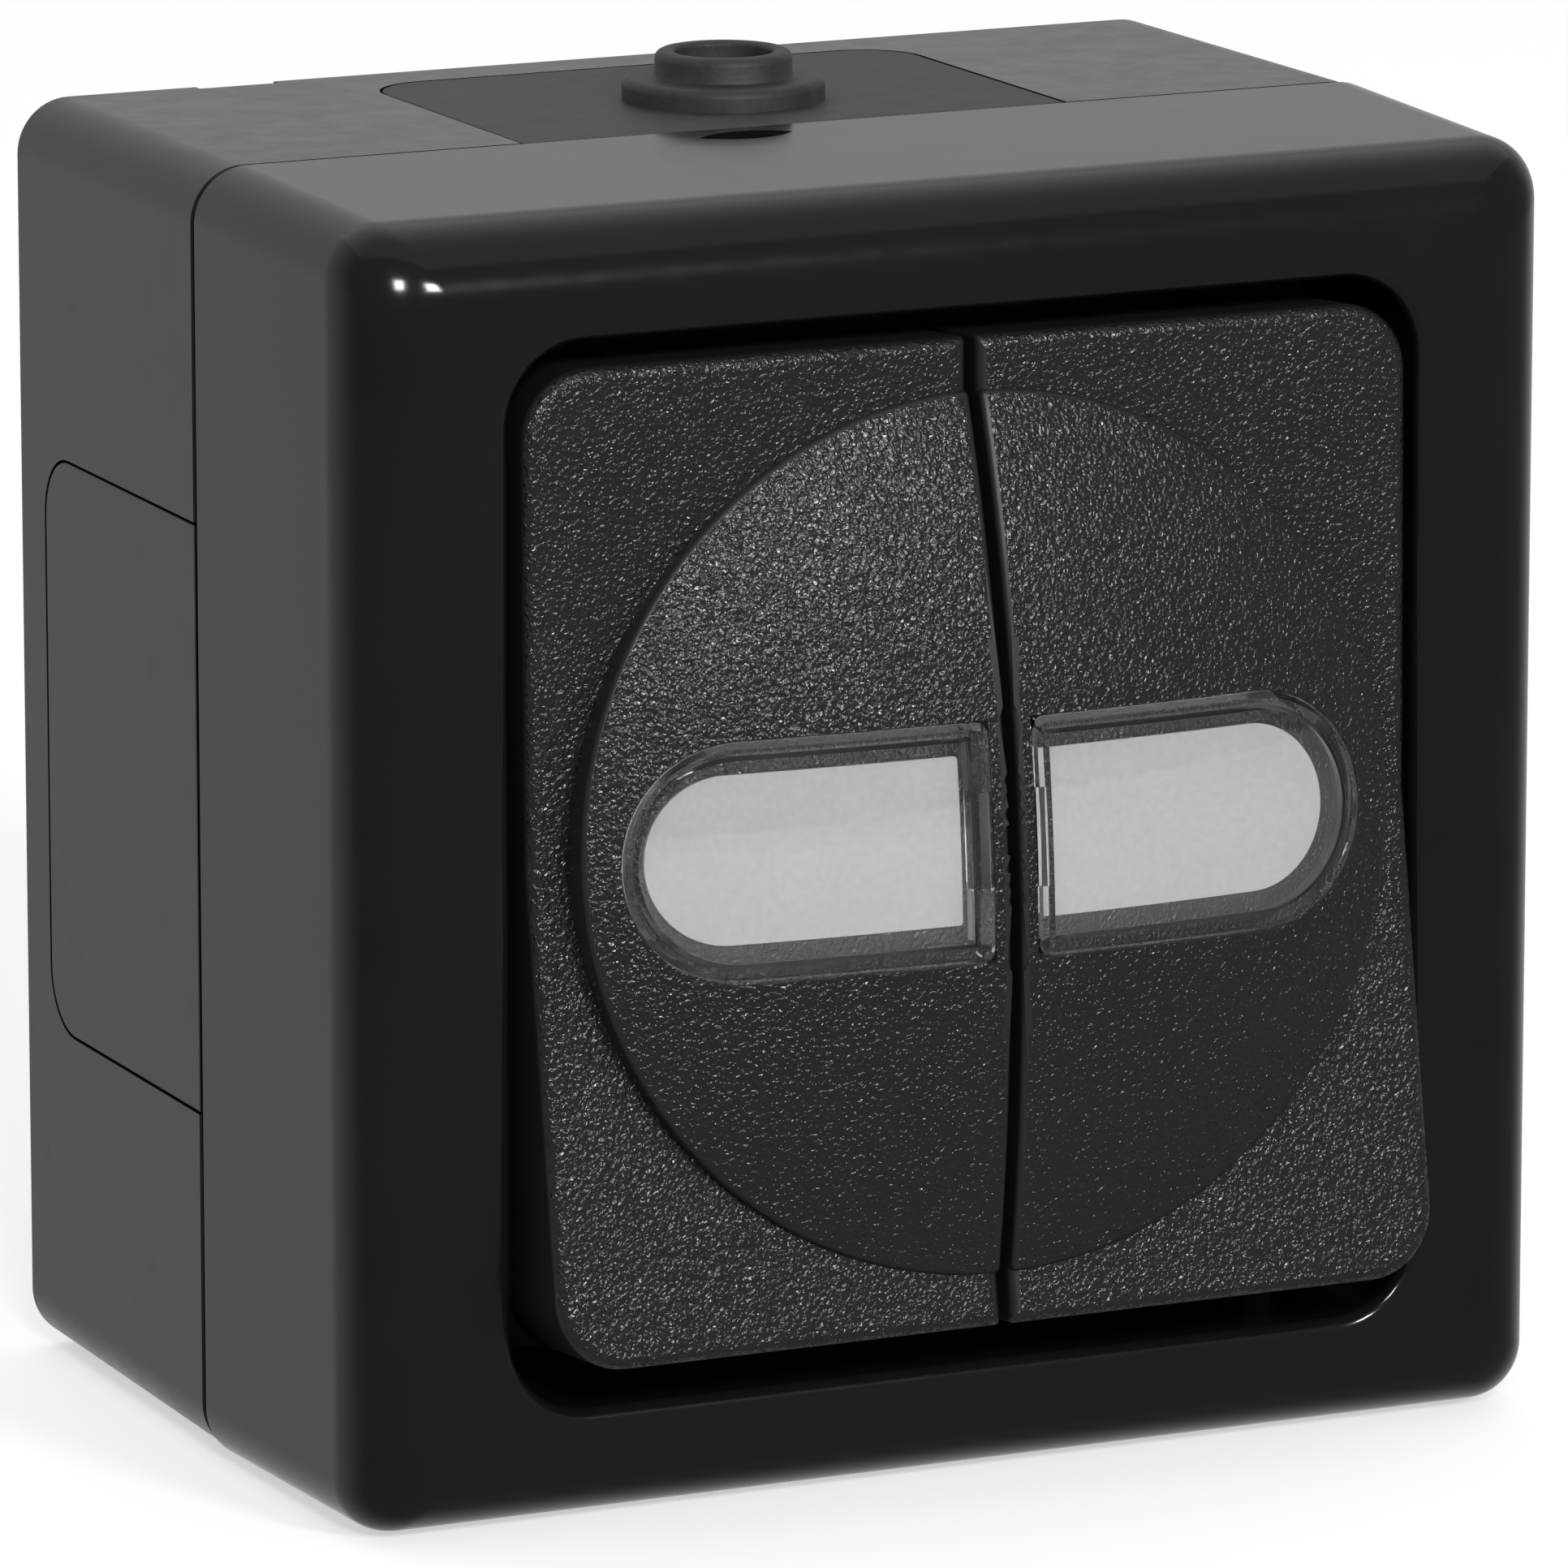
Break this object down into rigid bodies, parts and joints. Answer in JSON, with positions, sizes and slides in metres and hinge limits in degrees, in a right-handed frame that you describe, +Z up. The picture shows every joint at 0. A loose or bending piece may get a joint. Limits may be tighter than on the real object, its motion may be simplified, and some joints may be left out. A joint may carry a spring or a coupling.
{
  "type": "surface-mounted double rocker switch",
  "caption": "Square black plastic damp-room wall switch with a cover frame, side-by-side rockers sharing a domed disc with clear label windows, and a rubber cable nozzle on top.",
  "frame": {"origin": "centre of the flat back face, on the wall", "axes": "+Z up, +X to the right when facing the rockers, the rockers face -Y, +Y into the wall"},
  "size_m": [0.075, 0.0576, 0.0777],
  "materials": {
    "box_plastic": "satin",
    "cover_plastic": "gloss",
    "rubber": "matte",
    "rocker_plastic": "fine spark-eroded grain",
    "clear_plastic": "clear, polished",
    "label_paper": "matte",
    "inner_plastic": "matte",
    "base_thermoset": "matte",
    "zinc_steel": "zinc plated",
    "brass": "plain"
  },
  "bodies": {
    "housing": {"back_box": "box_plastic", "bearing_frame": "inner_plastic", "blank_insert_bottom": "box_plastic", "blank_insert_left": "box_plastic", "blank_insert_right": "box_plastic", "cable_membrane": "rubber", "cover_gasket": "rubber", "frame_screw_bottom": "zinc_steel", "frame_screw_top": "zinc_steel", "front_cover": "cover_plastic", "left_common_screw": "zinc_steel", "left_common_terminal": "brass", "left_lower_screw": "zinc_steel", "left_lower_terminal": "brass", "left_pivot_pin": "zinc_steel", "left_upper_screw": "zinc_steel", "left_upper_terminal": "brass", "right_common_screw": "zinc_steel", "right_common_terminal": "brass", "right_lower_screw": "zinc_steel", "right_lower_terminal": "brass", "right_pivot_pin": "zinc_steel", "right_upper_screw": "zinc_steel", "right_upper_terminal": "brass", "sealing_membrane": "rubber", "strap_screw_1": "zinc_steel", "strap_screw_2": "zinc_steel", "strap_screw_3": "zinc_steel", "strap_screw_4": "zinc_steel", "support_strap": "zinc_steel", "switch_base": "base_thermoset"},
    "left_rocker_body": {"left_rocker": "rocker_plastic", "left_lens": "clear_plastic", "left_label": "label_paper", "left_cradle": "inner_plastic", "left_spring": "zinc_steel"},
    "left_plunger_body": {"left_plunger": "inner_plastic"},
    "left_contact_body": {"left_contact_arm": "brass"},
    "right_rocker_body": {"right_rocker": "rocker_plastic", "right_lens": "clear_plastic", "right_label": "label_paper", "right_cradle": "inner_plastic", "right_spring": "zinc_steel"},
    "right_plunger_body": {"right_plunger": "inner_plastic"},
    "right_contact_body": {"right_contact_arm": "brass"}
  },
  "joints": [
    {"name": "left_rocker_swing", "type": "hinge", "parent": "housing", "child": "left_rocker_body", "pos_m": [0, -0.0422, 0], "axis": [1, 0, 0], "range_deg": [0, 10.4]},
    {"name": "right_rocker_swing", "type": "hinge", "parent": "housing", "child": "right_rocker_body", "pos_m": [0, -0.0422, 0], "axis": [1, 0, 0], "range_deg": [0, 10.4]},
    {"name": "left_contact_swing", "type": "hinge", "parent": "housing", "child": "left_contact_body", "pos_m": [0, -0.0264, 0], "axis": [1, 0, 0], "range_deg": [-8, 0]},
    {"name": "right_contact_swing", "type": "hinge", "parent": "housing", "child": "right_contact_body", "pos_m": [0, -0.0264, 0], "axis": [1, 0, 0], "range_deg": [-8, 0]},
    {"name": "left_plunger_slide", "type": "slide", "parent": "left_rocker_body", "child": "left_plunger_body", "axis": [0, -0.9959, 0.0906], "range_m": [0, 0.0004], "stiffness_N_per_m": 20, "springref_m": -0.01, "deforming": ["left_spring"]},
    {"name": "right_plunger_slide", "type": "slide", "parent": "right_rocker_body", "child": "right_plunger_body", "axis": [0, -0.9959, 0.0906], "range_m": [0, 0.0004], "stiffness_N_per_m": 20, "springref_m": -0.01, "deforming": ["right_spring"]}
  ],
  "couplings": [
    {"joint": "left_contact_swing", "follows": "left_rocker_swing", "ratio": -0.76923},
    {"joint": "right_contact_swing", "follows": "right_rocker_swing", "ratio": -0.76923}
  ]
}
